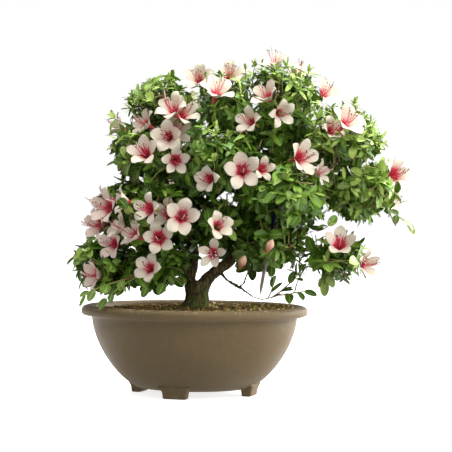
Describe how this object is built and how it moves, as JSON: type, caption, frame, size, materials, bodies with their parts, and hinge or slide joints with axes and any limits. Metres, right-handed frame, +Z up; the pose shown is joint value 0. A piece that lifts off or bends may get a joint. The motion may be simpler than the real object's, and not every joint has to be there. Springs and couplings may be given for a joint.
{
  "type": "flowering bonsai tree in a pot",
  "caption": "Azalea bonsai with a forked trunk, domed crown of small leaves and white crimson-throated flowers, in a round footed bowl of gritty soil.",
  "frame": {"origin": "under the middle of the whole object's bounding box, on the plane its feet stand on; the bowl's own axis is 66.6 mm towards -X", "axes": "+Z up; +X towards the side the crown leans to; the plant's front faces -Y"},
  "size_m": [0.4598, 0.31, 0.4731],
  "materials": {
    "moulded_taupe_plastic": "matte, faintly mottled",
    "black_netting": "matte",
    "bonsai_soil": "granular, matte",
    "bark": "rough, mossy in places",
    "label_plastic": "smooth",
    "leaf": "satin leaf",
    "petal": "soft translucent petal",
    "bud": "soft petal"
  },
  "bodies": {
    "root": {"pot": "moulded_taupe_plastic", "drain_mesh_left": "black_netting", "drain_mesh_right": "black_netting", "soil": "bonsai_soil", "trunk_and_branches": "bark", "plant_label": "label_plastic", "foliage_heart": "leaf", "foliage_centre": "leaf", "foliage_crown_left": "leaf", "foliage_crown_middle": "leaf", "foliage_crown_right": "leaf", "foliage_left": "leaf", "foliage_low_left": "leaf", "foliage_low_middle": "leaf", "foliage_low_middle_left": "leaf", "foliage_low_right": "leaf", "foliage_middle": "leaf", "foliage_right": "leaf", "foliage_shoulder_left": "leaf", "foliage_shoulder_right": "leaf", "flower_01": "petal", "flower_02": "petal", "flower_03": "petal", "flower_04": "petal", "flower_05": "petal", "flower_06": "petal", "flower_07": "petal", "flower_08": "petal", "flower_09": "petal", "flower_10": "petal", "flower_11": "petal", "flower_12": "petal", "flower_13": "petal", "flower_14": "petal", "flower_15": "petal", "flower_16": "petal", "flower_17": "petal", "flower_18": "petal", "flower_19": "petal", "flower_20": "petal", "flower_21": "petal", "flower_22": "petal", "flower_23": "petal", "flower_24": "petal", "flower_25": "petal", "flower_26": "petal", "flower_27": "petal", "flower_28": "petal", "flower_29": "petal", "flower_30": "petal", "flower_31": "petal", "flower_32": "petal", "flower_33": "petal", "flower_34": "petal", "flower_35": "petal", "flower_36": "petal", "flower_37": "petal", "flower_38": "petal", "bud_1": "bud", "bud_2": "bud"}
  },
  "joints": []
}
